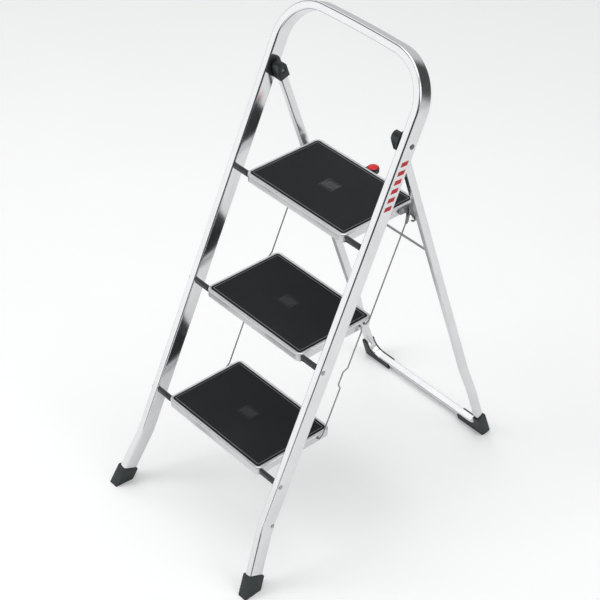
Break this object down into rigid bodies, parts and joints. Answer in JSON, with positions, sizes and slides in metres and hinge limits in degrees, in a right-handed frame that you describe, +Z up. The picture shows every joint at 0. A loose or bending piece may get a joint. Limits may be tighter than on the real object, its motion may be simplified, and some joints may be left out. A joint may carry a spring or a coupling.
{
  "type": "folding step stool",
  "caption": "Folding aluminium step stool with rubber covered treads, a high bent-tube hand rail, linked treads, a sprung lock lever and plastic feet.",
  "frame": {"origin": "on the floor, under the middle of the open stool's bounding box", "axes": "+Z up; -Y is the front the user climbs from; X runs along the treads, +X to the right of someone looking along +Y"},
  "size_m": [0.4648, 0.7442, 1.0468],
  "materials": {
    "aluminium_tube": "polished anodised",
    "tread_metal": "satin with a bright rolled rim",
    "black_rubber": "fine ribbed mat",
    "black_plastic": "moulded, light grain",
    "steel": "zinc plated",
    "red_plastic": "gloss"
  },
  "bodies": {
    "front_frame": {"front_frame_tube": "aluminium_tube", "front_foot_left": "black_plastic", "front_foot_right": "black_plastic", "step_axle_bottom": "steel", "step_axle_middle": "steel", "step_axle_top": "steel", "axle_sleeve_bottom_left": "black_plastic", "axle_sleeve_bottom_right": "black_plastic", "axle_sleeve_middle_left": "black_plastic", "axle_sleeve_middle_right": "black_plastic", "axle_sleeve_top_left": "black_plastic", "axle_sleeve_top_right": "black_plastic", "hinge_bracket_left": "black_plastic", "hinge_bracket_right": "black_plastic", "hinge_pin_left": "steel", "hinge_pin_right": "steel", "rail_rivet_left": "steel", "rail_rivet_right": "steel"},
    "rear_frame": {"rear_frame_tube": "aluminium_tube", "rear_cross_rod": "steel", "rear_foot_left": "black_plastic", "rear_foot_right": "black_plastic", "hinge_cap_left": "black_plastic", "hinge_cap_right": "black_plastic", "leg_stud_left": "steel", "leg_stud_right": "steel"},
    "tread_top": {"tread_tray_top": "tread_metal", "tread_mat_top": "black_rubber", "hook_plate_left": "steel", "hook_plate_right": "steel", "hook_rivet_left": "steel", "hook_rivet_right": "steel"},
    "tread_middle": {"tread_tray_middle": "tread_metal", "tread_mat_middle": "black_rubber"},
    "tread_bottom": {"tread_tray_bottom": "tread_metal", "tread_mat_bottom": "black_rubber"},
    "link_upper_left": {"link_wire_upper_left": "steel"},
    "link_upper_right": {"link_wire_upper_right": "steel"},
    "link_lower_left": {"link_wire_lower_left": "steel"},
    "link_lower_right": {"link_wire_lower_right": "steel"},
    "lock": {"lock_bail": "steel", "lock_lever": "black_plastic", "lock_disc": "red_plastic", "lock_spring": "steel"}
  },
  "joints": [
    {"name": "tread_top_fold", "type": "hinge", "parent": "front_frame", "child": "tread_top", "pos_m": [0, -0.03337, 0.69514], "axis": [1, 0, 0], "range_deg": [0, 63.2]},
    {"name": "tread_middle_fold", "type": "hinge", "parent": "front_frame", "child": "tread_middle", "pos_m": [0, -0.14448, 0.46008], "axis": [1, 0, 0], "range_deg": [0, 63.2]},
    {"name": "tread_bottom_fold", "type": "hinge", "parent": "front_frame", "child": "tread_bottom", "pos_m": [0, -0.25559, 0.22502], "axis": [1, 0, 0], "range_deg": [0, 63.2]},
    {"name": "rear_frame_fold", "type": "hinge", "parent": "front_frame", "child": "rear_frame", "pos_m": [0, 0.0732, 0.88899], "axis": [1, 0, 0], "range_deg": [-42.8, 0]},
    {"name": "link_upper_left_turn", "type": "hinge", "parent": "tread_top", "child": "link_upper_left", "pos_m": [0, 0.12963, 0.69814], "axis": [1, 0, 0], "range_deg": [-63.2, 0]},
    {"name": "link_upper_right_turn", "type": "hinge", "parent": "tread_top", "child": "link_upper_right", "pos_m": [0, 0.12963, 0.69814], "axis": [1, 0, 0], "range_deg": [-63.2, 0]},
    {"name": "link_lower_left_turn", "type": "hinge", "parent": "tread_middle", "child": "link_lower_left", "pos_m": [0, 0.00702, 0.46258], "axis": [1, 0, 0], "range_deg": [-63.2, 0]},
    {"name": "link_lower_right_turn", "type": "hinge", "parent": "tread_middle", "child": "link_lower_right", "pos_m": [0, 0.00702, 0.46258], "axis": [1, 0, 0], "range_deg": [-63.2, 0]},
    {"name": "lock_release", "type": "hinge", "parent": "tread_top", "child": "lock", "pos_m": [0, 0.14463, 0.69214], "axis": [1, 0, 0], "range_deg": [0, 20], "stiffness_Nm_per_rad": 0.08, "springref_deg": -20.05}
  ],
  "couplings": [
    {"joint": "tread_middle_fold", "follows": "tread_top_fold", "ratio": 1},
    {"joint": "tread_bottom_fold", "follows": "tread_top_fold", "ratio": 1},
    {"joint": "rear_frame_fold", "follows": "tread_top_fold", "ratio": -0.677},
    {"joint": "link_upper_left_turn", "follows": "tread_top_fold", "ratio": -1},
    {"joint": "link_upper_right_turn", "follows": "tread_top_fold", "ratio": -1},
    {"joint": "link_lower_left_turn", "follows": "tread_top_fold", "ratio": -1},
    {"joint": "link_lower_right_turn", "follows": "tread_top_fold", "ratio": -1}
  ]
}
